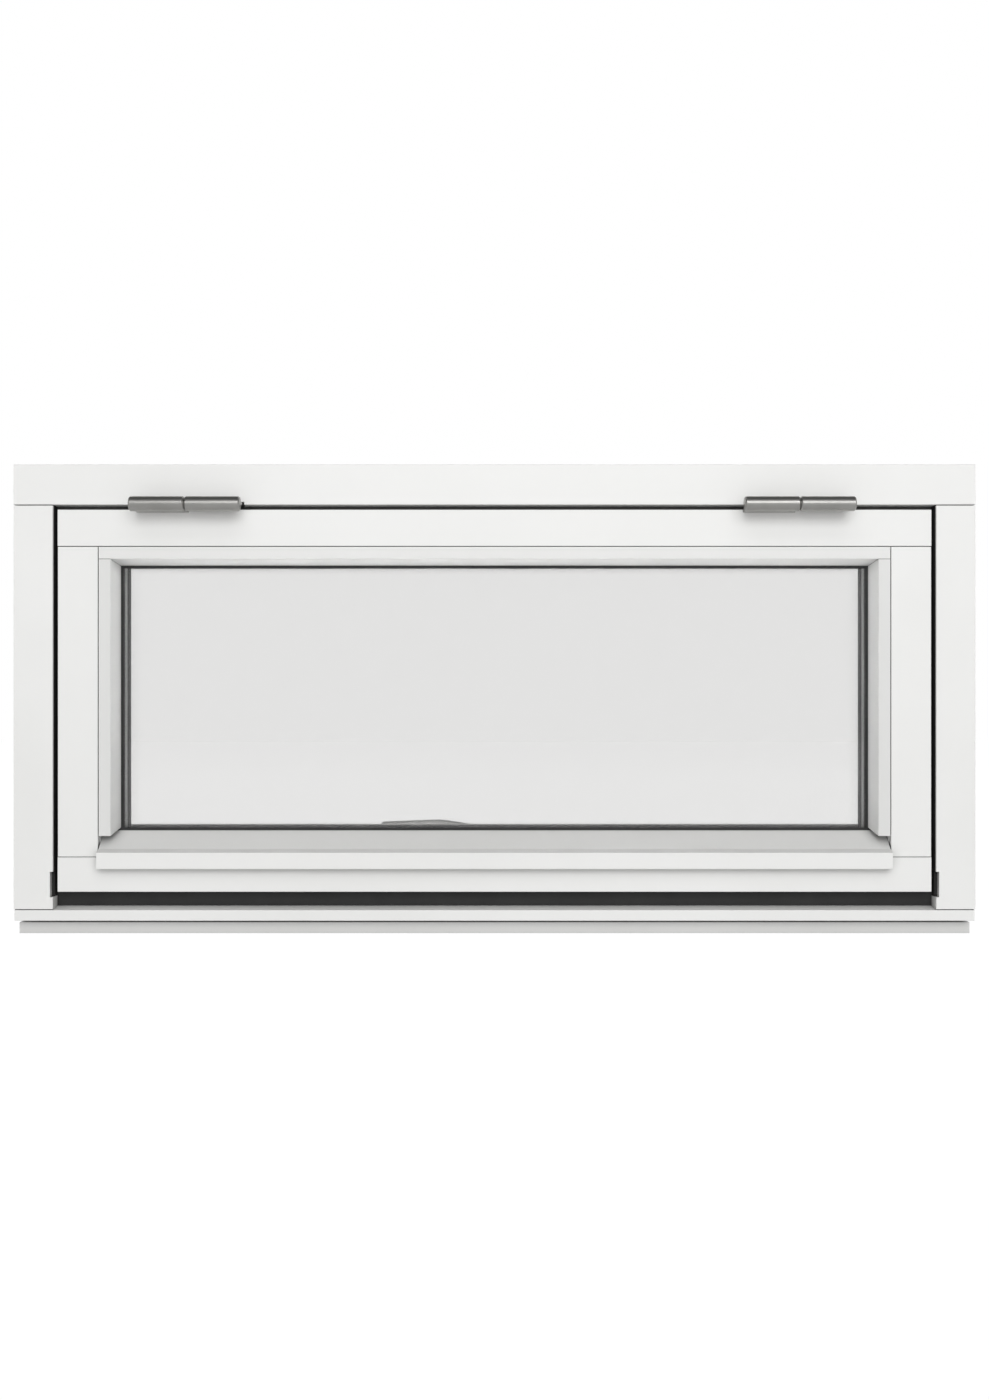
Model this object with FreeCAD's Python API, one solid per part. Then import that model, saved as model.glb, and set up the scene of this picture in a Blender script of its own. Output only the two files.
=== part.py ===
import FreeCAD, Part
import math
import os

from FreeCAD import Vector

# Frame, seen from outside: X to the right, depth runs from the outside face into the room, Z up
FRAME_WIDTH = 980.0
FRAME_HEIGHT = 480.0
FRAME_DEPTH = 105.0
HEAD_FACE = 41.0
JAMB_FACE = 40.0
REBATE_DEPTH = 20.0
STOP_COVER = 8.0
FRAME_ROUND = 0.8

# Sill
SILL_UNDERCUT_HEIGHT = 15.0
SILL_UNDERCUT_DEPTH = 16.0
SILL_NOSE_HEIGHT = 11.0
SILL_SLOPE = 0.15
SILL_END_INSET = 1.0
SILL_DRIP_HEIGHT = 3.8
SILL_DRIP_DEPTH = 12.0

# Screw holes through the jambs
FIXING_HOLE_RADIUS = 7.0
FIXING_SPACING = 260.0
FIXING_SETBACK = 17.5

# Gaps between sash and frame
SASH_SIDE_GAP = 5.0
SASH_TOP_GAP = 5.0
SASH_BOTTOM_GAP = 18.5
SEAL_CLEARANCE = 0.3

# Fine shadow lines along the joints of the timbers
GROOVE_WIDTH = 0.9
GROOVE_DEPTH = 8.0
ROOM_GROOVE_DEPTH = 2.5

# Seal strips and guide blocks
SEAL_THICKNESS = 4.0
SEAL_LEG_SINK = 2.0
SEAL_LEG_SETBACK = 3.5
GUIDE_HEIGHT = 26.0
GUIDE_SINK = 3.0
GUIDE_SETBACK = 7.0
GUIDE_DROP = 5.5

# Sash timbers
SASH_DEPTH = 70.0
SASH_STEP = 14.0
SASH_BOTTOM_STEP = 22.5
TOP_RAIL_FACE = 37.9
STILE_FACE = 41.7
BOTTOM_RAIL_FACE = 36.0
SASH_ROUND = 0.9
BOTTOM_RAIL_RISE = 11.2
INNER_LIP_DEPTH = 8.5
BOTTOM_LIP_HEIGHT = 16.7

# Glazing beads
BEAD_FLAT = 12.1
BEAD_SPLAY = 5.2
BEAD_DEPTH = 21.7
BEAD_END_GAP = 3.1
BEAD_END_SLOPE = 0.32
BEAD_JOINT_GAP = 0.5

# Weather bar under the glass
BAR_NOSE = 11.0
BAR_NOSE_HEIGHT = 16.7
BAR_NOSE_DROP = 11.7
BAR_BREAK_SETBACK = 9.0
BAR_BREAK_RISE = 2.9
BAR_BACK_HEIGHT = 13.6
BAR_END_GAP = 0.4
DRIP_WIDTH = 4.0
DRIP_SETBACK = 3.0
DRIP_HEIGHT = 3.0

# Triple glass unit
PANE_THICKNESS = 4.0
PANE_GAP = 12.0
SPACER_WIDTH = 13.0
GLASS_SIDE_CLEARANCE = 7.1
GLASS_TOP_CLEARANCE = 4.3
GLASS_BOTTOM_CLEARANCE = 2.1
GASKET_THICKNESS = 1.8
GASKET_SHOW = 2.7

# Lift-off hinges
HINGE_LENGTH = 111.2
HINGE_DIAMETER = 15.0
HINGE_LEFT_INSET = 179.0
HINGE_RIGHT_INSET = 183.4
HINGE_DROP = 2.0
HINGE_STANDOFF = 22.0
HINGE_SPLIT_GAP = 0.8
HINGE_EASE = 1.2
LEAF_THICKNESS = 3.0
LEAF_END_INSET = 1.9
LEAF_SLOT_SPARE = 2.4
PIN_RADIUS = 4.0
PIN_CLEARANCE = 0.05
PIN_END_COVER = 6.0

# Handle on the room side
SPINDLE_LIFT = 45.5
ROSE_LENGTH = 66.0
ROSE_HEIGHT = 28.0
ROSE_THICKNESS = 10.0
ROSE_EASE = 1.6
SPINDLE_RADIUS = 5.0
SPINDLE_CLEARANCE = 0.05
SPINDLE_END_GAP = 2.0
COLLAR_RADIUS = 9.0
COLLAR_GAP = 0.3
HANDLE_STANDOFF = 50.0
LEVER_THICKNESS = 12.0
LEVER_LENGTH = 126.0
LEVER_ROOT_HEIGHT = 18.0
LEVER_ROOT_FLAT = 1.8
LEVER_BEND_REACH = 57.0
LEVER_BEND_RISE = 11.1
LEVER_BEND_HEIGHT = 16.6
LEVER_TIP_RISE = 10.4
LEVER_TIP_HEIGHT = 13.2
LEVER_BEND_ROUND = 80.0
LEVER_TIP_ROUND = 6.0
LEVER_EASE = 3.5

# Places worked out from the sizes above
HALF_WIDTH = FRAME_WIDTH / 2
HEAD_BOTTOM = FRAME_HEIGHT - HEAD_FACE
REVEAL_X = HALF_WIDTH - JAMB_FACE
SILL_NOSE_TOP = SILL_UNDERCUT_HEIGHT + SILL_NOSE_HEIGHT
SEAL_DEPTH = REBATE_DEPTH - SEAL_THICKNESS
SASH_X = REVEAL_X - SASH_SIDE_GAP
SASH_TOP = HEAD_BOTTOM - SASH_TOP_GAP
SASH_BOTTOM = SILL_NOSE_TOP + SASH_BOTTOM_GAP
FLANGE_DEPTH = SEAL_DEPTH - SEAL_CLEARANCE
GUIDE_BOTTOM = SASH_BOTTOM - GUIDE_DROP
GUIDE_TOP = GUIDE_BOTTOM + GUIDE_HEIGHT

STOP_X = SASH_X - STOP_COVER
HEAD_STOP_Z = SASH_TOP - STOP_COVER
SILL_STOP_Z = SASH_BOTTOM + STOP_COVER

CORE_X = SASH_X - SASH_STEP
CORE_TOP = SASH_TOP - SASH_STEP
CORE_BOTTOM = SASH_BOTTOM + SASH_BOTTOM_STEP
STILE_X = SASH_X - STILE_FACE
TOP_RAIL_Z = SASH_TOP - TOP_RAIL_FACE
BOTTOM_RAIL_Z = SASH_BOTTOM + BOTTOM_RAIL_FACE
GLASS_SEAT_Z = BOTTOM_RAIL_Z + BOTTOM_RAIL_RISE
LIP_FRONT = SASH_DEPTH - INNER_LIP_DEPTH
LIP_BOTTOM_Z = GLASS_SEAT_Z + BOTTOM_LIP_HEIGHT

BEAD_REACH = BEAD_FLAT + BEAD_SPLAY
SIGHT_X = STILE_X - BEAD_REACH
SIGHT_TOP = TOP_RAIL_Z - BEAD_REACH
BAR_BACK_Z = GLASS_SEAT_Z + BAR_BACK_HEIGHT

GLASS_X = STILE_X - GLASS_SIDE_CLEARANCE
GLASS_TOP = TOP_RAIL_Z - GLASS_TOP_CLEARANCE
GLASS_BOTTOM = GLASS_SEAT_Z + GLASS_BOTTOM_CLEARANCE
GLASS_FRONT = BEAD_DEPTH + GASKET_THICKNESS
PANE_PITCH = PANE_THICKNESS + PANE_GAP
GLASS_BACK = GLASS_FRONT + 2 * PANE_PITCH + PANE_THICKNESS

HINGE_RADIUS = HINGE_DIAMETER / 2
HINGE_DEPTH = -HINGE_STANDOFF
HINGE_Z = HEAD_BOTTOM - HINGE_DROP
KNUCKLE_LENGTH = (HINGE_LENGTH - HINGE_SPLIT_GAP) / 2
HINGE_CENTRES = {
    "left": HINGE_LEFT_INSET - HALF_WIDTH,
    "right": HALF_WIDTH - HINGE_RIGHT_INSET,
}

SPINDLE_Z = SASH_BOTTOM + SPINDLE_LIFT
ROSE_BACK = SASH_DEPTH + ROSE_THICKNESS
LEVER_BACK = SASH_DEPTH + HANDLE_STANDOFF
LEVER_FRONT = LEVER_BACK - LEVER_THICKNESS


def place_y(depth):
    """Y of a point at a depth behind the outside face; the origin is at half depth."""
    return depth - FRAME_DEPTH / 2


def round_corner(before, corner, after, radius):
    """Start, middle and end of the arc that rounds a corner of an outline."""
    to_before = (before - corner).normalize()
    to_after = (after - corner).normalize()
    half_angle = to_before.getAngle(to_after) / 2
    reach = radius / math.tan(half_angle)
    inward = (to_before + to_after).normalize()
    middle = corner + inward * (radius / math.sin(half_angle) - radius)
    return corner + to_before * reach, middle, corner + to_after * reach


def face_of(points, rounds):
    """Flat face with straight sides; rounds gives the radius of each corner that is rounded."""
    corners = []
    for index, point in enumerate(points):
        if index in rounds:
            following = points[(index + 1) % len(points)]
            corners.append(round_corner(points[index - 1], point, following, rounds[index]))
        else:
            corners.append((point, None, point))
    edges = []
    for index, (start, middle, end) in enumerate(corners):
        if middle:
            edges.append(Part.Arc(start, middle, end).toShape())
        edges.append(Part.LineSegment(end, corners[(index + 1) % len(corners)][0]).toShape())
    return Part.Face(Part.Wire(edges))


def along_x(profile, start, end, rounded=(), radius=0.0):
    """Bar along X with a profile of (depth, height) points, of which the listed corners are rounded."""
    points = [Vector(start, place_y(depth), z) for depth, z in profile]
    return face_of(points, dict.fromkeys(rounded, radius)).extrude(Vector(end - start, 0, 0))


def along_z(profile, start, end, rounded=(), radius=0.0):
    """Bar along Z with a profile of (x, depth) points, of which the listed corners are rounded."""
    points = [Vector(x, place_y(depth), start) for x, depth in profile]
    return face_of(points, dict.fromkeys(rounded, radius)).extrude(Vector(0, 0, end - start))


def block(x_span, depth_span, z_span):
    corner = Vector(x_span[0], place_y(depth_span[0]), z_span[0])
    sizes = [high - low for low, high in (x_span, depth_span, z_span)]
    return Part.makeBox(sizes[0], sizes[1], sizes[2], corner)


def rod(radius, start, end, depth, z):
    """Round bar along X."""
    return Part.makeCylinder(radius, end - start, Vector(start, place_y(depth), z), Vector(1, 0, 0))


def groove(x_span, z_span):
    """Shadow line cut into the outside face."""
    return block(x_span, (0, GROOVE_DEPTH), z_span)


def room_groove(x_span, back, z):
    """Shadow line cut into a face on the room side, upward from the given height."""
    return block(x_span, (back - ROOM_GROOVE_DEPTH, back), (z, z + GROOVE_WIDTH))


def mirrored(shape):
    return shape.mirror(Vector(0, 0, 0), Vector(1, 0, 0))


def sill_top_at(depth):
    return SILL_NOSE_TOP + SILL_SLOPE * depth


# Frame

def head_underside():
    return [
        (0, HEAD_BOTTOM),
        (REBATE_DEPTH, HEAD_BOTTOM),
        (REBATE_DEPTH, HEAD_STOP_Z),
        (FRAME_DEPTH, HEAD_STOP_Z),
    ]


def sill_upper_side():
    return [
        (0, SILL_NOSE_TOP),
        (REBATE_DEPTH, sill_top_at(REBATE_DEPTH)),
        (REBATE_DEPTH, SILL_STOP_Z),
        (FRAME_DEPTH, SILL_STOP_Z),
    ]


def frame_head():
    """Head with a slot in its underside for each hinge leaf."""
    profile = head_underside() + [(FRAME_DEPTH, FRAME_HEIGHT), (0, FRAME_HEIGHT)]
    head = along_x(profile, -HALF_WIDTH, HALF_WIDTH, (0, 3, 4, 5), FRAME_ROUND)
    for centre in HINGE_CENTRES.values():
        start, end = frame_plate_span(centre)
        slot_span = (start, end + LEAF_SLOT_SPARE)
        slot = block(slot_span, (0, SEAL_DEPTH), (HEAD_BOTTOM, HEAD_BOTTOM + LEAF_THICKNESS))
        head = head.cut(slot)
    return head


def frame_sill():
    """Sill with a sloping top, a nose flush with the frame face, an undercut and a drip groove behind it."""
    drip_bottom = SILL_UNDERCUT_HEIGHT - SILL_DRIP_HEIGHT
    drip_back = SILL_UNDERCUT_DEPTH + SILL_DRIP_DEPTH
    profile = sill_upper_side() + [
        (FRAME_DEPTH, 0),
        (SILL_UNDERCUT_DEPTH, 0),
        (SILL_UNDERCUT_DEPTH, drip_bottom),
        (drip_back, drip_bottom),
        (drip_back, SILL_UNDERCUT_HEIGHT),
        (0, SILL_UNDERCUT_HEIGHT),
    ]
    half = HALF_WIDTH - SILL_END_INSET
    return along_x(profile, -half, half, (0, 3, 4, 9), FRAME_ROUND)


def frame_jamb():
    """Right jamb, coped to the head and the sill, with the guide notch and the screw holes."""
    profile = [
        (REVEAL_X, 0),
        (REVEAL_X, REBATE_DEPTH),
        (STOP_X, REBATE_DEPTH),
        (STOP_X, FRAME_DEPTH),
        (HALF_WIDTH, FRAME_DEPTH),
        (HALF_WIDTH, 0),
    ]
    jamb = along_z(profile, 0, FRAME_HEIGHT, (0, 3, 4, 5), FRAME_ROUND)
    jamb = jamb.cut(jamb_end_waste())
    for z in (SILL_NOSE_TOP, HEAD_BOTTOM - GROOVE_WIDTH):
        jamb = jamb.cut(groove((REVEAL_X, HALF_WIDTH), (z, z + GROOVE_WIDTH)))
    for z in (SILL_STOP_Z, HEAD_STOP_Z - GROOVE_WIDTH):
        jamb = jamb.cut(room_groove((STOP_X, HALF_WIDTH), FRAME_DEPTH, z))
    jamb = jamb.cut(guide_notch(0))
    jamb = jamb.cut(seal_leg())
    for z in (-FIXING_SPACING / 2, FIXING_SPACING / 2):
        centre = Vector(STOP_X, place_y(FRAME_DEPTH - FIXING_SETBACK), FRAME_HEIGHT / 2 + z)
        jamb = jamb.cut(Part.makeCylinder(FIXING_HOLE_RADIUS, HALF_WIDTH - STOP_X, centre, Vector(1, 0, 0)))
    return jamb


def jamb_end_waste():
    """What the head and the sill take from the ends of a full height jamb."""
    top = head_underside() + [(FRAME_DEPTH, FRAME_HEIGHT), (0, FRAME_HEIGHT)]
    bottom = sill_upper_side() + [(FRAME_DEPTH, 0), (0, 0)]
    wastes = [along_x(profile, 0, HALF_WIDTH) for profile in (top, bottom)]
    return Part.makeCompound(wastes)


def guide_notch(front):
    """Space of the guide block in the right jamb, from the given depth back to the seal."""
    return block((REVEAL_X, REVEAL_X + GUIDE_SINK), (front, SEAL_DEPTH), (GUIDE_BOTTOM, GUIDE_TOP))


def seal_leg():
    """Leg of the right seal strip, let in flush with the reveal of the jamb above the guide block."""
    sink = (REVEAL_X, REVEAL_X + SEAL_LEG_SINK)
    return block(sink, (SEAL_LEG_SETBACK, REBATE_DEPTH), (GUIDE_TOP, HEAD_BOTTOM))


def head_seal():
    return block((-REVEAL_X, REVEAL_X), (SEAL_DEPTH, REBATE_DEPTH), (HEAD_STOP_Z, HEAD_BOTTOM))


def jamb_seal():
    """Right seal strip, standing on the slope of the sill, with its leg along the reveal."""
    profile = [
        (SEAL_DEPTH, sill_top_at(SEAL_DEPTH)),
        (REBATE_DEPTH, sill_top_at(REBATE_DEPTH)),
        (REBATE_DEPTH, HEAD_STOP_Z),
        (SEAL_DEPTH, HEAD_STOP_Z),
    ]
    return along_x(profile, STOP_X, REVEAL_X).fuse(seal_leg()).removeSplitter()


def sill_seal():
    profile = [
        (SEAL_DEPTH, sill_top_at(SEAL_DEPTH)),
        (REBATE_DEPTH, sill_top_at(REBATE_DEPTH)),
        (REBATE_DEPTH, SILL_STOP_Z),
        (SEAL_DEPTH, SILL_STOP_Z),
    ]
    return along_x(profile, -STOP_X, STOP_X)


# Sash

def sash_rail(profile, corners):
    """Full width rail: the flange reaches further out at its ends than the core behind it."""
    rail = along_x(profile, -SASH_X, SASH_X, corners, SASH_ROUND)
    for side in (-1, 1):
        span = sorted((side * CORE_X, side * SASH_X))
        rail = rail.cut(block(span, (FLANGE_DEPTH, SASH_DEPTH), (SASH_BOTTOM, SASH_TOP)))
    return rail


def top_rail_underside():
    return [
        (0, TOP_RAIL_Z),
        (LIP_FRONT, TOP_RAIL_Z),
        (LIP_FRONT, SIGHT_TOP),
        (SASH_DEPTH, SIGHT_TOP),
    ]


def bottom_rail_upper_side():
    return [
        (0, BOTTOM_RAIL_Z),
        (BEAD_DEPTH, GLASS_SEAT_Z),
        (LIP_FRONT, GLASS_SEAT_Z),
        (LIP_FRONT, LIP_BOTTOM_Z),
        (SASH_DEPTH, LIP_BOTTOM_Z),
    ]


def sash_top_rail():
    """Top rail with a slot in its upper edge for each hinge leaf."""
    profile = top_rail_underside() + [
        (SASH_DEPTH, CORE_TOP),
        (FLANGE_DEPTH, CORE_TOP),
        (FLANGE_DEPTH, SASH_TOP),
        (0, SASH_TOP),
    ]
    rail = sash_rail(profile, (3, 7))
    rail = rail.cut(groove((-SASH_X, SASH_X), (TOP_RAIL_Z, TOP_RAIL_Z + GROOVE_WIDTH)))
    for centre in HINGE_CENTRES.values():
        span = sash_plate_span(centre)
        rail = rail.cut(block(span, (0, FLANGE_DEPTH), (SASH_TOP - LEAF_THICKNESS, SASH_TOP)))
    return rail


def sash_bottom_rail():
    profile = bottom_rail_upper_side() + [
        (SASH_DEPTH, CORE_BOTTOM),
        (FLANGE_DEPTH, CORE_BOTTOM),
        (FLANGE_DEPTH, SASH_BOTTOM),
        (0, SASH_BOTTOM),
    ]
    rail = sash_rail(profile, (4, 5, 8))
    return rail.cut(bottom_rail_groove())


def bottom_rail_groove():
    """Shadow line along the upper edge of the bottom rail, following its slope."""
    rise = GROOVE_DEPTH * BOTTOM_RAIL_RISE / BEAD_DEPTH
    profile = [
        (0, BOTTOM_RAIL_Z - GROOVE_WIDTH),
        (GROOVE_DEPTH, BOTTOM_RAIL_Z - GROOVE_WIDTH + rise),
        (GROOVE_DEPTH, BOTTOM_RAIL_Z + rise),
        (0, BOTTOM_RAIL_Z),
    ]
    return along_x(profile, -SASH_X, SASH_X)


def sash_stile():
    """Right stile, coped between the two rails."""
    profile = [
        (STILE_X, 0),
        (STILE_X, LIP_FRONT),
        (SIGHT_X, LIP_FRONT),
        (SIGHT_X, SASH_DEPTH),
        (CORE_X, SASH_DEPTH),
        (CORE_X, FLANGE_DEPTH),
        (SASH_X, FLANGE_DEPTH),
        (SASH_X, 0),
    ]
    stile = along_z(profile, SASH_BOTTOM, SASH_TOP, (3, 7), SASH_ROUND)
    stile = stile.cut(groove((STILE_X, STILE_X + GROOVE_WIDTH), (SASH_BOTTOM, SASH_TOP)))
    top_waste = top_rail_underside() + [(SASH_DEPTH, SASH_TOP), (0, SASH_TOP)]
    bottom_waste = bottom_rail_upper_side() + [(SASH_DEPTH, SASH_BOTTOM), (0, SASH_BOTTOM)]
    for waste in (top_waste, bottom_waste):
        stile = stile.cut(along_x(waste, 0, SASH_X))
    for z in (LIP_BOTTOM_Z, SIGHT_TOP - GROOVE_WIDTH):
        stile = stile.cut(room_groove((SIGHT_X, CORE_X), SASH_DEPTH, z))
    return stile


# Glazing

def top_bead():
    profile = [
        (0, TOP_RAIL_Z),
        (0, TOP_RAIL_Z - BEAD_FLAT),
        (BEAD_DEPTH, SIGHT_TOP),
        (BEAD_DEPTH, TOP_RAIL_Z),
    ]
    return along_x(profile, -STILE_X, STILE_X)


def side_bead():
    """Right bead, scribed under the top bead and cut on a slope above the weather bar."""
    profile = [
        (STILE_X, 0),
        (STILE_X - BEAD_FLAT, 0),
        (SIGHT_X, BEAD_DEPTH),
        (STILE_X, BEAD_DEPTH),
    ]
    bead = along_z(profile, BOTTOM_RAIL_Z, TOP_RAIL_Z).cut(top_bead())
    bead = bead.cut(top_bead().translated(Vector(0, 0, -BEAD_JOINT_GAP)))
    back_end = BAR_BACK_Z + BEAD_END_GAP
    front_end = back_end - BEAD_END_SLOPE * BEAD_DEPTH
    waste = [
        (0, BOTTOM_RAIL_Z),
        (0, front_end),
        (BEAD_DEPTH, back_end),
        (BEAD_DEPTH, BOTTOM_RAIL_Z),
    ]
    return bead.cut(along_x(waste, 0, STILE_X))


def weather_bar():
    """Sloping bar on the bottom rail, with a projecting nose and a drip groove under it."""
    nose_bottom = BOTTOM_RAIL_Z - BAR_NOSE_DROP
    nose_top = nose_bottom + BAR_NOSE_HEIGHT
    profile = [
        (-BAR_NOSE, nose_bottom),
        (-BAR_NOSE, nose_top),
        (BAR_BREAK_SETBACK - BAR_NOSE, nose_top + BAR_BREAK_RISE),
        (BEAD_DEPTH, BAR_BACK_Z),
        (BEAD_DEPTH, GLASS_SEAT_Z),
        (0, BOTTOM_RAIL_Z),
        (0, nose_bottom),
    ]
    half = STILE_X - BAR_END_GAP
    bar = along_x(profile, -half, half, (0, 1), SASH_ROUND)
    drip_front = DRIP_SETBACK - BAR_NOSE
    drip_span = (drip_front, drip_front + DRIP_WIDTH)
    drip = block((-half, half), drip_span, (nose_bottom, nose_bottom + DRIP_HEIGHT))
    return bar.cut(drip)


def glass_sheet(depth):
    return block((-GLASS_X, GLASS_X), (depth, depth + PANE_THICKNESS), (GLASS_BOTTOM, GLASS_TOP))


def glass_ring(depth_span, half_opening, bottom, top):
    """Flat ring as large as the glass, with the given opening."""
    ring = block((-GLASS_X, GLASS_X), depth_span, (GLASS_BOTTOM, GLASS_TOP))
    return ring.cut(block((-half_opening, half_opening), depth_span, (bottom, top)))


def pane(number):
    return glass_sheet(GLASS_FRONT + number * PANE_PITCH)


def spacer(number):
    front = GLASS_FRONT + number * PANE_PITCH + PANE_THICKNESS
    span = (front, front + PANE_GAP)
    return glass_ring(span, GLASS_X - SPACER_WIDTH, GLASS_BOTTOM + SPACER_WIDTH, GLASS_TOP - SPACER_WIDTH)


def outer_gasket():
    opening = SIGHT_X - GASKET_SHOW
    return glass_ring((BEAD_DEPTH, GLASS_FRONT), opening, BAR_BACK_Z + GASKET_SHOW, SIGHT_TOP - GASKET_SHOW)


def inner_tape():
    return glass_ring((GLASS_BACK, LIP_FRONT), SIGHT_X, LIP_BOTTOM_Z, SIGHT_TOP)


# Hinges

def knuckle(start, end):
    """Half barrel with eased ends."""
    barrel = rod(HINGE_RADIUS, start, end, HINGE_DEPTH, HINGE_Z)
    rims = [edge for edge in barrel.Edges if edge.BoundBox.XLength < HINGE_EASE]
    return barrel.makeChamfer(HINGE_EASE, rims)


def frame_plate_span(centre):
    """Ends of the leaf plate in the head, behind the right hand knuckle."""
    end = centre + HINGE_LENGTH / 2
    return end - KNUCKLE_LENGTH, end - LEAF_END_INSET


def sash_plate_span(centre):
    """Ends of the leaf plate in the sash, behind the left hand knuckle."""
    start = centre - HINGE_LENGTH / 2
    return start + LEAF_END_INSET, start + KNUCKLE_LENGTH


def hinge_leaf(plate_span, z, depth):
    """Leaf plate let into the timber, with an arm out to its own knuckle."""
    thickness = (z, z + LEAF_THICKNESS)
    plate = block(plate_span, (0, depth), thickness)
    arm = block((plate_span[0] + HINGE_EASE, plate_span[1] - HINGE_EASE), (HINGE_DEPTH, 0), thickness)
    return plate.fuse(arm)


def frame_leaf(centre):
    """Right hand knuckle with the leaf let into the head; the pin is tight in its bore."""
    end = centre + HINGE_LENGTH / 2
    leaf = hinge_leaf(frame_plate_span(centre), HEAD_BOTTOM, SEAL_DEPTH)
    leaf = leaf.fuse(knuckle(end - KNUCKLE_LENGTH, end))
    return leaf.cut(hinge_pin(centre)).removeSplitter()


def sash_leaf(centre):
    """Left hand knuckle with the leaf let into the sash; its bore turns on the pin."""
    start = centre - HINGE_LENGTH / 2
    end = start + KNUCKLE_LENGTH
    leaf = hinge_leaf(sash_plate_span(centre), SASH_TOP - LEAF_THICKNESS, FLANGE_DEPTH)
    leaf = leaf.fuse(knuckle(start, end))
    bore_start = start + PIN_END_COVER - PIN_CLEARANCE
    bore = rod(PIN_RADIUS + PIN_CLEARANCE, bore_start, end, HINGE_DEPTH, HINGE_Z)
    return leaf.cut(bore).removeSplitter()


def hinge_pin(centre):
    reach = HINGE_LENGTH / 2 - PIN_END_COVER
    return rod(PIN_RADIUS, centre - reach, centre + reach, HINGE_DEPTH, HINGE_Z)


# Handle

def along_depth(radius, front, back):
    """Round bar along the spindle of the handle."""
    return Part.makeCylinder(radius, back - front, Vector(0, place_y(front), SPINDLE_Z), Vector(0, 1, 0))


def handle_rose():
    """Oblong plate with round ends on the bottom rail, bored for the spindle."""
    offset = (ROSE_LENGTH - ROSE_HEIGHT) / 2
    plate = block(
        (-offset, offset),
        (SASH_DEPTH, ROSE_BACK),
        (SPINDLE_Z - ROSE_HEIGHT / 2, SPINDLE_Z + ROSE_HEIGHT / 2),
    )
    for side in (-offset, offset):
        centre = Vector(side, place_y(SASH_DEPTH), SPINDLE_Z)
        plate = plate.fuse(Part.makeCylinder(ROSE_HEIGHT / 2, ROSE_THICKNESS, centre, Vector(0, 1, 0)))
    plate = plate.removeSplitter()
    rim = [edge for edge in plate.Edges if edge.BoundBox.YMin > place_y(ROSE_BACK - ROSE_EASE)]
    plate = plate.makeChamfer(ROSE_EASE, rim)
    return plate.cut(along_depth(SPINDLE_RADIUS + SPINDLE_CLEARANCE, SASH_DEPTH, ROSE_BACK))


def lever_outline():
    """Arm seen from the room: it climbs from the spindle to a gentle bend and tapers to a round tip."""
    root_end = LEVER_ROOT_HEIGHT / 2
    stations = [
        (root_end, 0, LEVER_ROOT_HEIGHT),
        (-LEVER_BEND_REACH, LEVER_BEND_RISE, LEVER_BEND_HEIGHT),
        (-LEVER_LENGTH, LEVER_TIP_RISE, LEVER_TIP_HEIGHT),
    ]
    upper = [(x, rise + height / 2) for x, rise, height in stations]
    lower = [(x, rise - height / 2) for x, rise, height in reversed(stations)]
    root_round = root_end - LEVER_ROOT_FLAT / 2
    radii = [root_round, LEVER_BEND_ROUND, LEVER_TIP_ROUND, LEVER_TIP_ROUND, LEVER_BEND_ROUND, root_round]
    points = [Vector(x, place_y(LEVER_FRONT), SPINDLE_Z + rise) for x, rise in upper + lower]
    return face_of(points, dict(enumerate(radii)))


def handle_lever():
    """Lever arm with rounded edges, its collar and the spindle that turns in the rose."""
    arm = lever_outline().extrude(Vector(0, LEVER_THICKNESS, 0))
    rims = [edge for edge in arm.Edges if edge.BoundBox.YLength < LEVER_EASE]
    arm = arm.makeFillet(LEVER_EASE, rims)
    collar = along_depth(COLLAR_RADIUS, ROSE_BACK + COLLAR_GAP, LEVER_FRONT + LEVER_THICKNESS / 2)
    spindle = along_depth(SPINDLE_RADIUS, SASH_DEPTH + SPINDLE_END_GAP, LEVER_FRONT)
    return arm.fuse([collar, spindle]).removeSplitter()


def all_pieces():
    right = {
        "jamb": frame_jamb(),
        "jamb_seal": jamb_seal(),
        "guide_block": guide_notch(GUIDE_SETBACK),
        "stile": sash_stile(),
        "glazing_bead": side_bead(),
    }
    pieces = {
        "frame_head": frame_head(),
        "frame_sill": frame_sill(),
        "head_seal": head_seal(),
        "sill_seal": sill_seal(),
        "sash_top_rail": sash_top_rail(),
        "sash_bottom_rail": sash_bottom_rail(),
        "top_glazing_bead": top_bead(),
        "weather_bar": weather_bar(),
        "outer_pane": pane(0),
        "middle_pane": pane(1),
        "inner_pane": pane(2),
        "outer_spacer": spacer(0),
        "inner_spacer": spacer(1),
        "outer_gasket": outer_gasket(),
        "inner_tape": inner_tape(),
        "handle_rose": handle_rose(),
        "handle_lever": handle_lever(),
    }
    for name, shape in right.items():
        pieces["right_" + name] = shape
        pieces["left_" + name] = mirrored(shape)
    for side, centre in HINGE_CENTRES.items():
        pieces[side + "_hinge_frame_leaf"] = frame_leaf(centre)
        pieces[side + "_hinge_sash_leaf"] = sash_leaf(centre)
        pieces[side + "_hinge_pin"] = hinge_pin(centre)
    return pieces


os.makedirs("parts", exist_ok=True)
for node, solid in all_pieces().items():
    solid.exportStep("parts/" + node + ".step")
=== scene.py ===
import math

import bmesh
import bpy
from mathutils import Matrix, Vector


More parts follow.
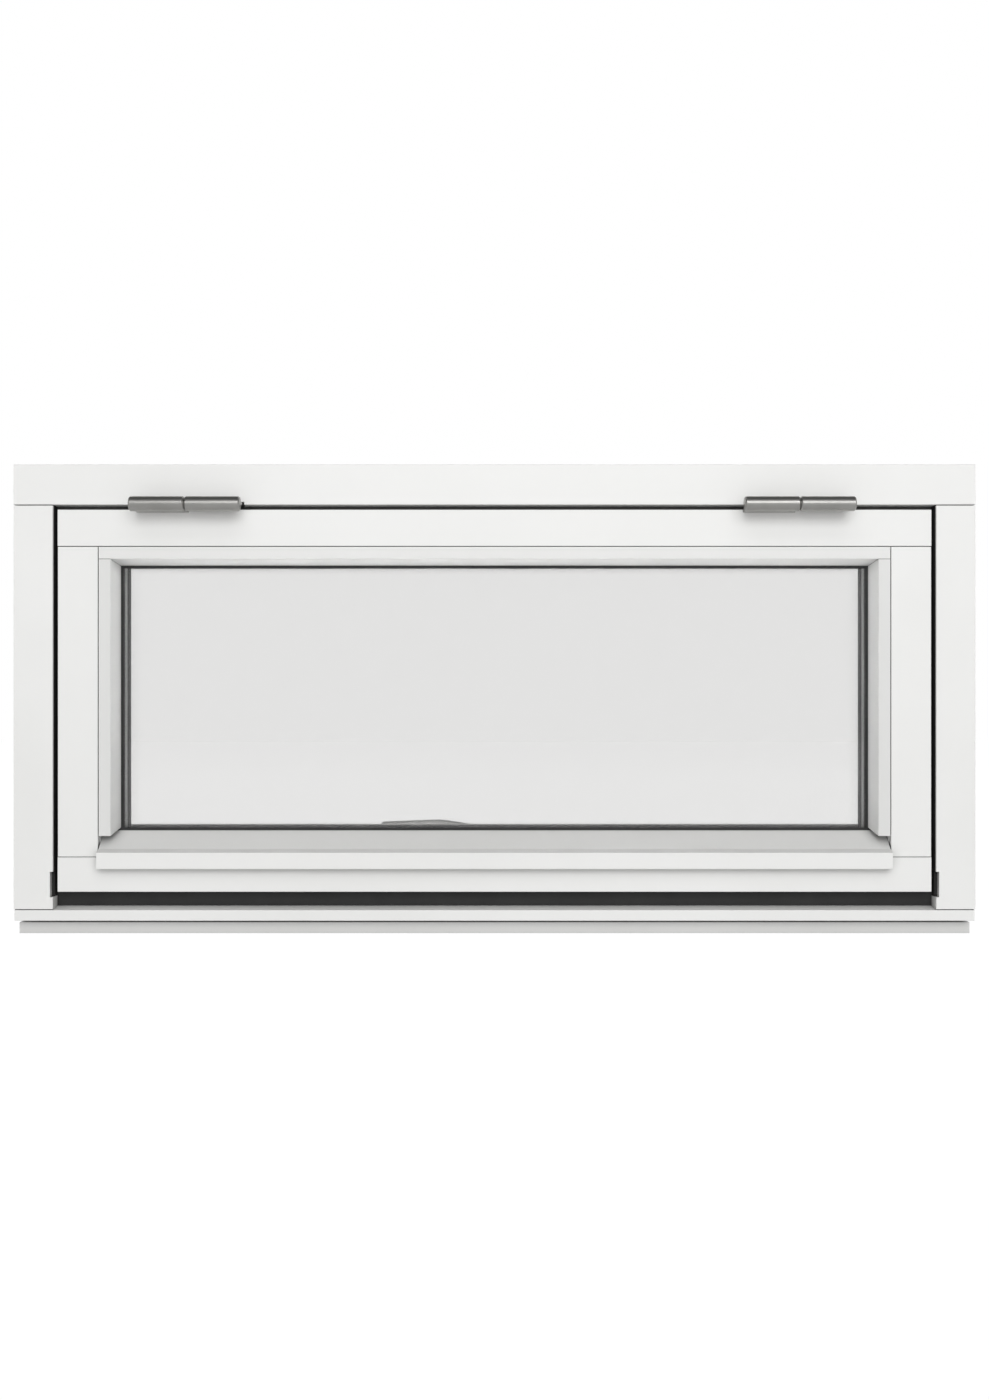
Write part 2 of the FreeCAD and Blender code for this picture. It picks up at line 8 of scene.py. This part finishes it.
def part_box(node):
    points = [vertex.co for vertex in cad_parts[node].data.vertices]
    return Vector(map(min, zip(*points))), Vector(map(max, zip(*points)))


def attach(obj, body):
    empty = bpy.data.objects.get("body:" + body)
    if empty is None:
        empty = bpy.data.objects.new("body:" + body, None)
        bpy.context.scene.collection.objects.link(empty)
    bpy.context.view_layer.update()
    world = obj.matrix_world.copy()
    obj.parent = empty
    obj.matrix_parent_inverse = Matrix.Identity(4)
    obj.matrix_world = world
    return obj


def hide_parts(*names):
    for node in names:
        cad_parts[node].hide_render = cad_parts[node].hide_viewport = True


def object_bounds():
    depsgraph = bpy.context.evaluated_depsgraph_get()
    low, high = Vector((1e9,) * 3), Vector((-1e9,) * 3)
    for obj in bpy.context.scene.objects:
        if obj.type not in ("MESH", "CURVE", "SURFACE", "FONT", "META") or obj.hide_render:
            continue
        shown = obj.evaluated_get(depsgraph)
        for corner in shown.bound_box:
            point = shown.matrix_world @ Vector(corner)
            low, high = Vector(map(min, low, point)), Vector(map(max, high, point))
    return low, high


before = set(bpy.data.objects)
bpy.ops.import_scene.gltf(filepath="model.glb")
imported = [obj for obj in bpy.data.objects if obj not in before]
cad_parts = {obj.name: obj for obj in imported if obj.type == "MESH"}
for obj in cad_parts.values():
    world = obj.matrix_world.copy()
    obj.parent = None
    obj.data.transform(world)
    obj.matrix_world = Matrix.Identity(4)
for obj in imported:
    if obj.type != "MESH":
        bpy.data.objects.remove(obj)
cad_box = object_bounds()

# Camera, level with the middle of the window, in front of the outside face
IMAGE_LONG_SIDE = 1400
CAMERA_DISTANCE = 1.5
FOCAL_PIXELS = 1472.5
SENSOR = 36.0

# Floor and world, and how bright they are: seen, lighting through the glass, and lighting from outside
FLOOR_SIZE = 14.0
FLOOR_GAP = 0.0002
FLOOR_COLOUR = (0.02, 0.02, 0.02, 1.0)
GLOW_COLOUR = (1, 1, 1, 1)
STAGE_SEEN = 1.0
FLOOR_BEHIND, WORLD_BEHIND = 13.0, 2.0
FLOOR_GLOW = 0.58
WORLD_LOW, WORLD_BAND, WORLD_HIGH = 0.36, 0.26, 0.10
BAND_START, BAND_MIDDLE, BAND_END = 0.0, 0.42, 0.80

# Area lights, all turned to the same target
LIGHT_TARGET = (0.0, -0.05, 0.24)
KEY_PLACE = (0.4, -3.4, 1.70)
KEY_SIZE = (3.2, 1.3)
KEY_POWER = 52.0
FILL_PLACE = (0.0, -3.4, 0.55)
FILL_SIZE = (4.0, 1.1)
FILL_POWER = 25.0
TOP_PLACE = (0.0, -2.2, 3.05)
TOP_SIZE = (3.6, 1.2)
TOP_POWER = 24.0
ROOM_PLACE = (2.3, 2.7, 1.5)
ROOM_SIZE = (2.2, 1.6)
ROOM_POWER = 60.0

# Noise: its detail, and the span that most of its values lie in
EVEN = (1, 1, 1)
NOISE_DETAIL, NOISE_ROUGHNESS = 4.0, 0.55
NOISE_LOW, NOISE_HIGH = 0.3, 0.7

# White paint, with the timber's grain and the skin of the spray
PAINT_LOW, PAINT_HIGH = (0.815, 0.815, 0.80), (0.845, 0.845, 0.833)
# The beads' darker paint is painted shade, stronger on the side beads than on the top bead
TOP_BEAD_SHADE, SIDE_BEAD_SHADE = 0.93, 0.88
PAINT_ROUGHNESS = (0.34, 0.46)
PAINT_IOR = 1.46
PAINT_CLOUD_SCALE = 7
PAINT_BUMP = 0.5
GRAIN_ACROSS, GRAIN_UPRIGHT = (14, 1, 1), (1, 1, 14)
GRAIN_SCALE, GRAIN_DETAIL, GRAIN_ROUGHNESS, GRAIN_HEIGHT = 160, 5.0, 0.6, 0.00005
SKIN_SCALE, SKIN_DETAIL, SKIN_HEIGHT = 850, 2.0, 0.00002

# Painted shade: paint is darker in joints and recesses, and darker and rougher on faces that look up
OCCLUSION_SAMPLES = 16
JOINT_SHADE = {"reach": 0.004, "dark": 0.03, "closed": 0.0, "opened": 0.60}
RECESS_SHADE = {"reach": 0.014, "dark": 0.64, "closed": 0.30, "opened": 0.97}
UP_SHADE_TONE, UP_FACING_ROUGHNESS = 0.84, 0.3
UP_FACING_START, UP_FACING_FULL = 0.4, 0.8

# Rubber, from dark to light grey; the head seal's middle grey is painted light that lifts it where it sits
# in the shade of the top gap
BLACK_RUBBER, LIGHTENED_RUBBER, GREY_RUBBER = (0.012, 0.019), (0.055, 0.075), (0.36, 0.42)
RUBBER_ROUGHNESS = (0.5, 0.68)
RUBBER_CLOUD_SCALE = 30
RUBBER_BUMP = 0.6
RUBBER_SPECK_SCALE, RUBBER_SPECK_DETAIL, RUBBER_SPECK_HEIGHT = 1400, 3.0, 0.00003

# Plastic, from dark to light grey; the lighter grey on the outer spacer is painted light, for the light it
# catches through the outer pane
BLACK_PLASTIC, LIT_SPACER_GREY = (0.014, 0.022), (0.07, 0.09)
BLACK_PLASTIC_ROUGHNESS, GREY_PLASTIC_ROUGHNESS = (0.66, 0.78), (0.34, 0.44)
BLACK_PLASTIC_LEVEL, GREY_PLASTIC_LEVEL = 0.3, 0.5
PLASTIC_BUMP = 0.3
PLASTIC_SPECK_SCALE, PLASTIC_SPECK_DETAIL, PLASTIC_SPECK_HEIGHT = 2200, 2.0, 0.00001

# Glass, with a trace of dust in its roughness
GLASS_TINT = (0.921, 0.920, 0.918, 1.0)
GLASS_IOR = 1.5
GLASS_ROUGHNESS = (0.0, 0.012)
GLASS_DUST_SCALE, GLASS_DUST_DETAIL = 18, 6.0
GLASS_DUST_START, GLASS_DUST_FULL = 0.45, 0.8

# Metals, from dark to light, with lines drawn along the piece
HINGE_STEEL = (0.40, 0.395, 0.38), (0.46, 0.455, 0.44)
HANDLE_METAL = (0.64, 0.64, 0.63), (0.72, 0.72, 0.71)
SCREW_STEEL = (0.50, 0.50, 0.49), (0.60, 0.60, 0.59)
HINGE_ROUGHNESS, HANDLE_ROUGHNESS, SCREW_ROUGHNESS = (0.34, 0.46), (0.30, 0.44), (0.26, 0.40)
DRAWN_ACROSS = (300, 1, 1)
METAL_CLOUD_SCALE = 45
METAL_BUMP = 0.25
LINE_SCALE, LINE_DETAIL, LINE_HEIGHT = 5200, 3.0, 0.00001

# Glazing tape behind the glass, with a round inner edge; corners nearer than SAME_PLACE are level
TAPE_GAP = 0.0002
SAME_PLACE = 0.0002
TAPE_EDGE_STEPS = 6

# Screws in the hinge leaves: shares along the leaf, insets from the timber's face, and turn in radians
SCREW_SHARES = (0.2, 0.5, 0.8)
SCREW_INSETS = (0.0045, 0.0110)
SCREW_TURN = 0.6
HEAD_RADIUS = 0.0039
HEAD_RIM_RADIUS, HEAD_RIM_RISE = 0.0037, 0.0002
HEAD_TOP_RADIUS, HEAD_TOP_RISE = 0.0029, 0.0005
HEAD_SIDES = 24
CROSS_ARM, CROSS_HALF_WIDTH, CROSS_FLOOR = 0.0018, 0.0004, 0.0001
FRAME_LEAF_ABOVE_PIN, SASH_LEAF_BELOW_PIN = 0.002, 0.003


# Shader nodes


def node_tree(name):
    """A new material, with its nodes, its links and its Principled shader."""
    material = bpy.data.materials.new(name)
    material.use_nodes = True
    nodes = material.node_tree.nodes
    return material, nodes, material.node_tree.links, nodes["Principled BSDF"]


def object_noise(nodes, links, scale, stretch=EVEN, detail=NOISE_DETAIL, roughness=NOISE_ROUGHNESS):
    """Noise in the object's own metres; stretch lengthens it along an axis."""
    where = nodes.new("ShaderNodeTexCoord")
    mapping = nodes.new("ShaderNodeMapping")
    mapping.inputs["Scale"].default_value = [scale / s for s in stretch]
    noise = nodes.new("ShaderNodeTexNoise")
    noise.inputs["Scale"].default_value = 1.0
    noise.inputs["Detail"].default_value = detail
    noise.inputs["Roughness"].default_value = roughness
    links.new(where.outputs["Object"], mapping.inputs["Vector"])
    links.new(mapping.outputs["Vector"], noise.inputs["Vector"])
    return noise.outputs["Fac"]


def grey(level):
    """Colour with the same level in each channel."""
    return [level] * 3


def ramp(nodes, links, source, stops):
    """Colour ramp of (position, colour) stops, fed by source."""
    node = nodes.new("ShaderNodeValToRGB")
    elements = node.color_ramp.elements
    while len(elements) < len(stops):
        elements.new(0.5)  # between the first and the last, and moved below
    for element, (position, colour) in zip(elements, stops):
        element.position = position
        element.color = (*colour, 1.0)
    links.new(source, node.inputs["Fac"])
    return node.outputs["Color"]


def mottle(nodes, links, noise, low, high):
    """Colour that drifts between low and high with the noise."""
    return ramp(nodes, links, noise, [(NOISE_LOW, low), (NOISE_HIGH, high)])


def spread(nodes, links, source, low, high, start=NOISE_LOW, end=NOISE_HIGH):
    """Source mapped from start to end onto low to high."""
    node = nodes.new("ShaderNodeMapRange")
    node.inputs["From Min"].default_value = start
    node.inputs["From Max"].default_value = end
    node.inputs["To Min"].default_value = low
    node.inputs["To Max"].default_value = high
    links.new(source, node.inputs["Value"])
    return node.outputs["Result"]


def bump(nodes, links, source, distance, strength, under=None):
    """Bump of the given height in metres, laid over another bump."""
    node = nodes.new("ShaderNodeBump")
    node.inputs["Distance"].default_value = distance
    node.inputs["Strength"].default_value = strength
    links.new(source, node.inputs["Height"])
    if under is not None:
        links.new(under, node.inputs["Normal"])
    return node.outputs["Normal"]


def tint(nodes, links, colour, shade):
    """One colour multiplied by another."""
    mix = nodes.new("ShaderNodeMix")
    mix.data_type = "RGBA"
    mix.blend_type = "MULTIPLY"
    mix.inputs["Factor"].default_value = 1.0
    links.new(colour, mix.inputs["A"])
    links.new(shade, mix.inputs["B"])
    return mix.outputs["Result"]


def combine(nodes, links, operation, first, second):
    """Result of one operation on two sockets, or on a socket and a number."""
    node = nodes.new("ShaderNodeMath")
    node.operation = operation
    for value, socket in zip((first, second), node.inputs):
        if isinstance(value, float):
            socket.default_value = value
        else:
            links.new(value, socket)
    return node.outputs["Value"]


def shade_recesses(nodes, links, colour, reach, dark, closed, opened):
    """Colour darkened as painted shade where other faces close in within reach."""
    occlusion = nodes.new("ShaderNodeAmbientOcclusion")
    occlusion.samples = OCCLUSION_SAMPLES
    occlusion.inputs["Distance"].default_value = reach
    stops = [(closed, grey(dark)), (opened, grey(1.0))]
    return tint(nodes, links, colour, ramp(nodes, links, occlusion.outputs["AO"], stops))


def up_shade_and_matt_mask(nodes, links):
    """Mask for painted shade and added roughness: one where the face looks up, none on upright faces."""
    where = nodes.new("ShaderNodeTexCoord")
    facing = nodes.new("ShaderNodeSeparateXYZ")
    links.new(where.outputs["Normal"], facing.inputs["Vector"])
    return spread(nodes, links, facing.outputs["Z"], 0.0, 1.0, UP_FACING_START, UP_FACING_FULL)


# Materials


def painted_timber(name, stretch, shade_factor=1.0, shaded=True):
    """White satin paint on timber: faint grain along the piece, a fine sprayed skin, and painted shade in
    joints, recesses and on faces that look up.
    """
    material, nodes, links, shader = node_tree(name)
    grain = object_noise(nodes, links, GRAIN_SCALE, stretch, GRAIN_DETAIL, GRAIN_ROUGHNESS)
    cloud = object_noise(nodes, links, PAINT_CLOUD_SCALE)
    skin = object_noise(nodes, links, SKIN_SCALE, detail=SKIN_DETAIL)
    # The factor darkens the whole paint, as painted shade on the beads
    low = [shade_factor * c for c in PAINT_LOW]
    high = [shade_factor * c for c in PAINT_HIGH]
    colour = mottle(nodes, links, cloud, low, high)
    # Painted shade in joints and narrow gaps, and, where shaded, in recesses
    colour = shade_recesses(nodes, links, colour, **JOINT_SHADE)
    if shaded:
        colour = shade_recesses(nodes, links, colour, **RECESS_SHADE)
    # Faces that look up get painted shade and more roughness from this mask
    dust = up_shade_and_matt_mask(nodes, links)
    painted_up_shade = ramp(nodes, links, dust, [(0.0, grey(1.0)), (1.0, grey(UP_SHADE_TONE))])
    links.new(tint(nodes, links, colour, painted_up_shade), shader.inputs["Base Color"])
    gloss = spread(nodes, links, cloud, *PAINT_ROUGHNESS)
    matt = combine(nodes, links, "MULTIPLY", dust, UP_FACING_ROUGHNESS)
    links.new(combine(nodes, links, "ADD", gloss, matt), shader.inputs["Roughness"])
    normal = bump(nodes, links, grain, GRAIN_HEIGHT, PAINT_BUMP)
    normal = bump(nodes, links, skin, SKIN_HEIGHT, PAINT_BUMP, normal)
    links.new(normal, shader.inputs["Normal"])
    shader.inputs["IOR"].default_value = PAINT_IOR
    return material


def rubber(name, shades):
    """Dull rubber with a fine speck, from one grey to another."""
    material, nodes, links, shader = node_tree(name)
    low, high = shades
    speck = object_noise(nodes, links, RUBBER_SPECK_SCALE, detail=RUBBER_SPECK_DETAIL)
    cloud = object_noise(nodes, links, RUBBER_CLOUD_SCALE)
    links.new(mottle(nodes, links, cloud, grey(low), grey(high)), shader.inputs["Base Color"])
    links.new(spread(nodes, links, speck, *RUBBER_ROUGHNESS), shader.inputs["Roughness"])
    links.new(bump(nodes, links, speck, RUBBER_SPECK_HEIGHT, RUBBER_BUMP), shader.inputs["Normal"])
    return material


def plastic(name, shades, roughness, level):
    """Plastic with a fine speck, from one grey to another; level is how much it mirrors."""
    material, nodes, links, shader = node_tree(name)
    low, high = shades
    speck = object_noise(nodes, links, PLASTIC_SPECK_SCALE, detail=PLASTIC_SPECK_DETAIL)
    links.new(mottle(nodes, links, speck, grey(low), grey(high)), shader.inputs["Base Color"])
    links.new(spread(nodes, links, speck, *roughness), shader.inputs["Roughness"])
    links.new(bump(nodes, links, speck, PLASTIC_SPECK_HEIGHT, PLASTIC_BUMP), shader.inputs["Normal"])
    shader.inputs["Specular IOR Level"].default_value = level
    return material


def clear_glass():
    """Clear glass with a trace of dust in its roughness."""
    material, nodes, links, shader = node_tree("clear_glass")
    dust = object_noise(nodes, links, GLASS_DUST_SCALE, detail=GLASS_DUST_DETAIL)
    dusty = spread(nodes, links, dust, *GLASS_ROUGHNESS, GLASS_DUST_START, GLASS_DUST_FULL)
    links.new(dusty, shader.inputs["Roughness"])
    shader.inputs["Base Color"].default_value = GLASS_TINT
    shader.inputs["Transmission Weight"].default_value = 1.0
    shader.inputs["IOR"].default_value = GLASS_IOR
    return material


def satin_metal(name, shades, stretch, roughness):
    """Satin metal with fine lines, drawn out by stretch."""
    material, nodes, links, shader = node_tree(name)
    lines = object_noise(nodes, links, LINE_SCALE, stretch, LINE_DETAIL)
    cloud = object_noise(nodes, links, METAL_CLOUD_SCALE)
    links.new(mottle(nodes, links, cloud, *shades), shader.inputs["Base Color"])
    links.new(spread(nodes, links, lines, *roughness), shader.inputs["Roughness"])
    links.new(bump(nodes, links, lines, LINE_HEIGHT, METAL_BUMP), shader.inputs["Normal"])
    shader.inputs["Metallic"].default_value = 1.0
    return material


# Materials on the solids


def both_sides(*pieces):
    """Names of the left and the right one of each piece."""
    return [side + "_" + piece for side in ("left", "right") for piece in pieces]


def give(material, names):
    """One material for all the named nodes."""
    for name in names:
        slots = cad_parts[name].data.materials
        slots.clear()
        slots.append(material)


def paint_timber():
    """Paint on every piece of timber."""
    # The head and top rail skip the painted shade in recesses
    top = painted_timber("white_paint_top", GRAIN_ACROSS, shaded=False)
    across = painted_timber("white_paint_across", GRAIN_ACROSS)
    upright = painted_timber("white_paint_upright", GRAIN_UPRIGHT)
    # The beads are darker copies of the paint, painted shade
    top_bead = painted_timber("shaded_bead_paint_across", GRAIN_ACROSS, TOP_BEAD_SHADE)
    side_bead = painted_timber("shaded_bead_paint_upright", GRAIN_UPRIGHT, SIDE_BEAD_SHADE)
    give(top, ["frame_head", "sash_top_rail"])
    give(across, ["frame_sill", "sash_bottom_rail", "weather_bar"])
    give(upright, both_sides("jamb", "stile"))
    give(top_bead, ["top_glazing_bead"])
    give(side_bead, both_sides("glazing_bead"))


def dress_glazing():
    """Seals, blocks, spacers and glass."""
    black = plastic("black_plastic", BLACK_PLASTIC, BLACK_PLASTIC_ROUGHNESS, BLACK_PLASTIC_LEVEL)
    lit_spacer = plastic("grey_plastic", LIT_SPACER_GREY, GREY_PLASTIC_ROUGHNESS, GREY_PLASTIC_LEVEL)
    give(rubber("black_rubber", BLACK_RUBBER), ["sill_seal", "outer_gasket", *both_sides("jamb_seal")])
    # The head seal is a lighter grey, painted light for where it sits in shade
    give(rubber("lightened_seal_rubber", LIGHTENED_RUBBER), ["head_seal"])
    give(black, ["inner_spacer", *both_sides("guide_block")])
    # The outer spacer is a lighter grey, painted light for the light it catches
    give(lit_spacer, ["outer_spacer"])
    give(clear_glass(), ["outer_pane", "middle_pane", "inner_pane"])


def dress_fittings():
    """Hinges and handle."""
    hinge = satin_metal("hinge_steel", HINGE_STEEL, DRAWN_ACROSS, HINGE_ROUGHNESS)
    handle = satin_metal("handle_metal", HANDLE_METAL, DRAWN_ACROSS, HANDLE_ROUGHNESS)
    give(hinge, both_sides("hinge_frame_leaf", "hinge_sash_leaf", "hinge_pin"))
    give(handle, ["handle_rose", "handle_lever"])


# Pieces that the solids leave to the scene


def lay_ring(mesh, radius, rise, count):
    """Vertices of a circle at the given height."""
    angles = [2 * math.pi * i / count for i in range(count)]
    return [mesh.verts.new((radius * math.cos(a), radius * math.sin(a), rise)) for a in angles]


def lay_cross(mesh, rise):
    """Vertices of the cross recess at the given height, one arm after the other."""
    a, b = CROSS_ARM, CROSS_HALF_WIDTH
    arm = [Vector((a, -b, rise)), Vector((a, b, rise)), Vector((b, b, rise))]
    turns = [Matrix.Rotation(math.pi / 2 * i, 3, "Z") for i in range(4)]
    return [mesh.verts.new(turn @ corner) for turn in turns for corner in arm]


def lay_rectangle(mesh, left, right, bottom, top, y):
    """Vertices of an upright rectangle at the given depth."""
    corners = ((left, bottom), (right, bottom), (right, top), (left, top))
    return [mesh.verts.new((x, y, z)) for x, z in corners]


def join_loops(mesh, lower, upper):
    """Side faces between two loops of the same count."""
    for i in range(len(lower)):
        mesh.faces.new((lower[i - 1], lower[i], upper[i], upper[i - 1]))


def add_piece(name, mesh, material, body):
    """Object for a finished mesh, riding on a body."""
    bmesh.ops.recalc_face_normals(mesh, faces=mesh.faces)
    data = bpy.data.meshes.new(name)
    mesh.to_mesh(data)
    mesh.free()
    data.materials.append(material)
    piece = bpy.data.objects.new(name, data)
    bpy.context.scene.collection.objects.link(piece)
    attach(piece, body)
    return piece


def make_tape():
    """Tape between the glass and the lip of the sash, as wide as its node."""
    low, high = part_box("inner_tape")
    corners = [v.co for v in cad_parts["inner_tape"].data.vertices]
    open_x = min(abs(c.x) for c in corners)
    open_low = min(c.z for c in corners if abs(c.z - low.z) > SAME_PLACE)
    open_high = max(c.z for c in corners if abs(c.z - high.z) > SAME_PLACE)
    front = low.y + TAPE_GAP
    radius = (high.y - front) / 2
    mesh = bmesh.new()
    loops = [lay_rectangle(mesh, low.x, high.x, low.z, high.z, front)]
    for step in range(TAPE_EDGE_STEPS + 1):
        angle = math.pi * step / TAPE_EDGE_STEPS
        back_off = radius * (1 - math.sin(angle))
        y = front + radius * (1 - math.cos(angle))
        half = open_x + back_off
        loops.append(lay_rectangle(mesh, -half, half, open_low - back_off, open_high + back_off, y))
    loops.append(lay_rectangle(mesh, low.x, high.x, low.z, high.z, high.y))
    for i, loop in enumerate(loops):
        join_loops(mesh, loops[i - 1], loop)
    tape = add_piece("glazing_tape", mesh, rubber("grey_rubber", GREY_RUBBER), "sash")
    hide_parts("inner_tape")


def screw_head():
    """Raised screw head with a cross recess, standing on the plane z = 0."""
    mesh = bmesh.new()
    foot = lay_ring(mesh, HEAD_RADIUS, 0.0, HEAD_SIDES)
    rim = lay_ring(mesh, HEAD_RIM_RADIUS, HEAD_RIM_RISE, HEAD_SIDES)
    top = lay_ring(mesh, HEAD_TOP_RADIUS, HEAD_TOP_RISE, HEAD_SIDES)
    mouth = lay_cross(mesh, HEAD_TOP_RISE)
    floor = lay_cross(mesh, CROSS_FLOOR)
    mesh.faces.new(foot)
    mesh.faces.new(floor)
    for lower, upper in ((foot, rim), (rim, top), (floor, mouth)):
        join_loops(mesh, lower, upper)
    loops = [e for e in mesh.edges if len(e.link_faces) == 1]
    bmesh.ops.triangle_fill(mesh, edges=loops, use_beauty=True)
    return mesh


def leaf_screws(side, body, material, face_from_pin, looks):
    """Screws in one hinge leaf, on the face that looks up, for 1, or down, for -1."""
    low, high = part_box(side + "_hinge_" + body + "_leaf")
    pin_z = (low.z + high.z) / 2
    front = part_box("frame_head")[0].y
    scratch = bpy.data.meshes.new("screw_head")
    screws = bmesh.new()
    for i, share in enumerate(SCREW_SHARES):
        x = low.x + share * (high.x - low.x)
        y = front + SCREW_INSETS[i % 2]
        head = screw_head()
        turn = Matrix.Rotation(i * SCREW_TURN, 4, "Z")
        flip = Matrix.Diagonal((1, looks, looks, 1))
        place = Matrix.Translation((x, y, pin_z + face_from_pin))
        head.transform(place @ flip @ turn)
        head.to_mesh(scratch)
        screws.from_mesh(scratch)
        head.free()
    bpy.data.meshes.remove(scratch)
    add_piece(side + "_hinge_" + body + "_screws", screws, material, body)


def make_screws():
    """Screws in both leaves of both hinges."""
    steel = satin_metal("screw_steel", SCREW_STEEL, EVEN, SCREW_ROUGHNESS)
    for side in ("left", "right"):
        leaf_screws(side, "frame", steel, FRAME_LEAF_ABOVE_PIN, -1)
        leaf_screws(side, "sash", steel, -SASH_LEAF_BELOW_PIN, 1)


# Camera, stage and light


def make_camera():
    """Camera that looks straight at the outside face."""
    low, high = cad_box
    data = bpy.data.cameras.new("camera")
    data.sensor_width = SENSOR
    data.lens = FOCAL_PIXELS / IMAGE_LONG_SIDE * SENSOR
    camera = bpy.data.objects.new("camera", data)
    face_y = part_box("frame_head")[0].y
    camera.location = (0, face_y - CAMERA_DISTANCE, (low.z + high.z) / 2)
    camera.rotation_euler = (math.radians(90), 0, 0)
    bpy.context.scene.collection.objects.link(camera)
    bpy.context.scene.camera = camera


def stage_glow(nodes, links, lit, shining):
    """How bright the stage is.

    It is white where it is seen and shining where it lights a surface through the glass. Where it lights the
    object from outside it is lit, a number or a socket.
    """
    path = nodes.new("ShaderNodeLightPath")
    through = path.outputs["Is Transmission Ray"]
    seen = combine(nodes, links, "MAXIMUM", path.outputs["Is Camera Ray"], through)
    scattered = combine(nodes, links, "MINIMUM", path.outputs["Diffuse Depth"], 1.0)
    behind = combine(nodes, links, "MULTIPLY", through, scattered)
    glow = nodes.new("ShaderNodeMapRange")
    links.new(seen, glow.inputs["Value"])
    glow.inputs["To Max"].default_value = STAGE_SEEN
    if isinstance(lit, float):
        glow.inputs["To Min"].default_value = lit
    else:
        links.new(lit, glow.inputs["To Min"])
    extra = combine(nodes, links, "MULTIPLY", behind, shining - STAGE_SEEN)
    return combine(nodes, links, "ADD", glow.outputs["Result"], extra)


def make_floor():
    """Plain pale floor under the window."""
    half = FLOOR_SIZE / 2
    z = cad_box[0].z - FLOOR_GAP
    corners = [(-half, -half, z), (half, -half, z), (half, half, z), (-half, half, z)]
    mesh = bpy.data.meshes.new("floor")
    mesh.from_pydata(corners, [], [(0, 1, 2, 3)])
    floor = bpy.data.objects.new("floor", mesh)
    bpy.context.scene.collection.objects.link(floor)
    material, nodes, links, shader = node_tree("pale_floor")
    shader.inputs["Base Color"].default_value = FLOOR_COLOUR
    shader.inputs["Specular IOR Level"].default_value = 0.0
    shader.inputs["Roughness"].default_value = 1.0
    shader.inputs["Emission Color"].default_value = GLOW_COLOUR
    links.new(stage_glow(nodes, links, FLOOR_GLOW, FLOOR_BEHIND), shader.inputs["Emission Strength"])
    mesh.materials.append(material)


def make_world():
    """Even white world, dimmer towards the top where it lights the object."""
    world = bpy.data.worlds.new("studio")
    world.use_nodes = True
    nodes = world.node_tree.nodes
    links = world.node_tree.links
    background = nodes["Background"]
    where = nodes.new("ShaderNodeTexCoord")
    height = nodes.new("ShaderNodeSeparateXYZ")
    links.new(where.outputs["Generated"], height.inputs["Vector"])
    sky = ramp(nodes, links, height.outputs["Z"], [
        (BAND_START, grey(WORLD_LOW)), (BAND_MIDDLE, grey(WORLD_BAND)), (BAND_END, grey(WORLD_HIGH)),
    ])
    links.new(stage_glow(nodes, links, sky, WORLD_BEHIND), background.inputs["Strength"])
    background.inputs["Color"].default_value = GLOW_COLOUR
    bpy.context.scene.world = world


def area_light(name, place, size, power, mirrored):
    """Area light that the glass doesn't let through to the eye, and that shows in gloss only if mirrored."""
    data = bpy.data.lights.new(name, "AREA")
    data.shape = "RECTANGLE"
    data.size, data.size_y = size
    data.energy = power
    light = bpy.data.objects.new(name, data)
    light.location = place
    light.visible_transmission = False
    light.visible_glossy = mirrored
    light.rotation_euler = (Vector(LIGHT_TARGET) - Vector(place)).to_track_quat("-Z", "Y").to_euler()
    bpy.context.scene.collection.objects.link(light)


def make_lights():
    """Key, fill and top light outside, and two lights in the room."""
    area_light("key", KEY_PLACE, KEY_SIZE, KEY_POWER, mirrored=True)
    area_light("fill", FILL_PLACE, FILL_SIZE, FILL_POWER, mirrored=False)
    area_light("top", TOP_PLACE, TOP_SIZE, TOP_POWER, mirrored=False)
    x, y, z = ROOM_PLACE
    area_light("room_left", (-x, y, z), ROOM_SIZE, ROOM_POWER, mirrored=True)
    area_light("room_right", (x, y, z), ROOM_SIZE, ROOM_POWER, mirrored=True)


make_camera()
make_floor()
make_world()
make_lights()
paint_timber()
dress_glazing()
dress_fittings()
make_tape()
make_screws()
bpy.context.scene.view_settings.view_transform = "Standard"
